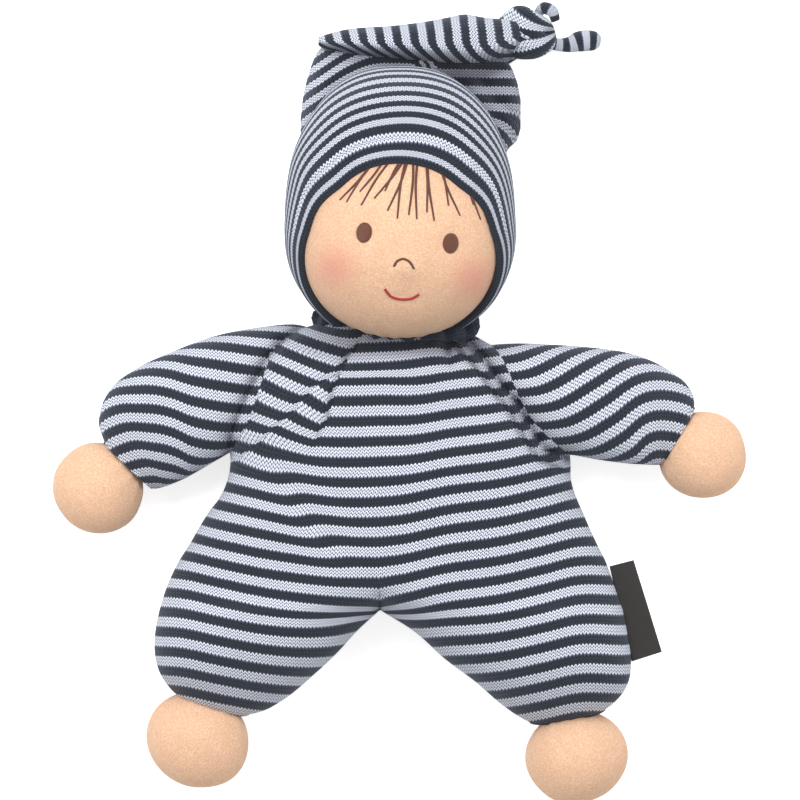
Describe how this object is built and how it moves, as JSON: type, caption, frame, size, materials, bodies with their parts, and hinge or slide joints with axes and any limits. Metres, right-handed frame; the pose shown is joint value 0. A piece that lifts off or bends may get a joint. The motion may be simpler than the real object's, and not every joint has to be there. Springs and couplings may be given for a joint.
{
  "type": "soft doll",
  "caption": "Stuffed jersey doll lying on its back, in a striped suit and a knotted striped cap, with ball hands and feet, movable head and limbs, and a bare side label.",
  "frame": {"origin": "on the flat of the back on which the doll rests, below the middle of the trunk", "axes": "+Y towards the head, +X towards the viewer's right, +Z out of the chest"},
  "size_m": [0.249, 0.2872, 0.0798],
  "materials": {
    "striped_jersey": "fine cotton jersey in navy and pale blue-grey stripes",
    "plain_jersey": "plain navy jersey",
    "velour": "short peach velour",
    "hair_thread": "brown embroidery thread",
    "eye_thread": "satin stitch, brown",
    "mouth_thread": "red embroidery thread",
    "sewing_thread": "pale sewing thread",
    "fibre": "white fibre filling",
    "label_cloth": "dark woven tape"
  },
  "bodies": {
    "torso": {"suit_body": "striped_jersey", "body_stuffing": "fibre", "neckband": "plain_jersey"},
    "neck": {"neck_stub": "velour", "neck_tie": "sewing_thread"},
    "head": {"head_skin": "velour", "head_stuffing": "fibre", "left_eye": "eye_thread", "right_eye": "eye_thread", "nose": "hair_thread", "mouth": "mouth_thread", "hair": "hair_thread", "cap_crown": "striped_jersey", "cap_hem": "plain_jersey", "cap_fold": "striped_jersey"},
    "cap_tail": {"cap_tail": "striped_jersey", "cap_knot": "striped_jersey", "cap_tip": "striped_jersey"},
    "left_arm": {"left_sleeve": "striped_jersey", "left_arm_stuffing": "fibre"},
    "left_hand": {"left_hand_skin": "velour", "left_hand_stuffing": "fibre", "left_hand_tie": "sewing_thread"},
    "left_leg": {"left_leg_cover": "striped_jersey", "left_leg_stuffing": "fibre"},
    "left_foot": {"left_foot_skin": "velour", "left_foot_stuffing": "fibre", "left_foot_tie": "sewing_thread"},
    "right_arm": {"right_sleeve": "striped_jersey", "right_arm_stuffing": "fibre"},
    "right_hand": {"right_hand_skin": "velour", "right_hand_stuffing": "fibre", "right_hand_tie": "sewing_thread"},
    "right_leg": {"right_leg_cover": "striped_jersey", "right_leg_stuffing": "fibre"},
    "right_foot": {"right_foot_skin": "velour", "right_foot_stuffing": "fibre", "right_foot_tie": "sewing_thread"},
    "side_label": {"side_label": "label_cloth"}
  },
  "joints": [
    {"name": "neck_nod", "type": "hinge", "parent": "torso", "child": "neck", "pos_m": [0.0015, 0.058, 0.029], "axis": [1, 0, 0], "range_deg": [-8, 12]},
    {"name": "head_turn", "type": "hinge", "parent": "neck", "child": "head", "pos_m": [0.0015, 0.058, 0.029], "axis": [0.053, 0.9532, 0.2976], "range_deg": [-40, 40]},
    {"name": "cap_tail_flop", "type": "hinge", "parent": "head", "child": "cap_tail", "pos_m": [0.032, 0.164, 0.022], "axis": [0, -1, 0], "range_deg": [-10, 60]},
    {"name": "left_arm_raise", "type": "hinge", "parent": "torso", "child": "left_arm", "pos_m": [-0.0505, 0.039, 0.0205], "axis": [0, 0, -1], "range_deg": [-12, 60]},
    {"name": "left_hand_wobble", "type": "hinge", "parent": "left_arm", "child": "left_hand", "pos_m": [-0.09941, 0.00948, 0.016], "axis": [0, 0, -1], "range_deg": [-20, 20]},
    {"name": "right_arm_raise", "type": "hinge", "parent": "torso", "child": "right_arm", "pos_m": [0.049, 0.0345, 0.0205], "axis": [0, 0, 1], "range_deg": [-12, 60]},
    {"name": "right_hand_wobble", "type": "hinge", "parent": "right_arm", "child": "right_hand", "pos_m": [0.10666, 0.02108, 0.0151], "axis": [0, 0, 1], "range_deg": [-20, 20]},
    {"name": "left_leg_swing", "type": "hinge", "parent": "torso", "child": "left_leg", "pos_m": [-0.0437, -0.03565, 0.0248], "axis": [-0.9927, 0.1205, 0], "range_deg": [-33, 33]},
    {"name": "left_foot_wobble", "type": "hinge", "parent": "left_leg", "child": "left_foot", "pos_m": [-0.06582, -0.0793, 0.0171], "axis": [-0.8877, 0.4605, 0], "range_deg": [-20, 20]},
    {"name": "right_leg_swing", "type": "hinge", "parent": "torso", "child": "right_leg", "pos_m": [0.03985, -0.03665, 0.0248], "axis": [-0.9962, -0.0873, 0], "range_deg": [-33, 33]},
    {"name": "right_foot_wobble", "type": "hinge", "parent": "right_leg", "child": "right_foot", "pos_m": [0.06566, -0.08467, 0.0171], "axis": [-0.9789, -0.2044, 0], "range_deg": [-20, 20]},
    {"name": "label_flap", "type": "hinge", "parent": "right_leg", "child": "side_label", "pos_m": [0.0848, -0.041, 0.024], "axis": [-0.2571, 0.9664, 0], "range_deg": [-70, 70]}
  ]
}
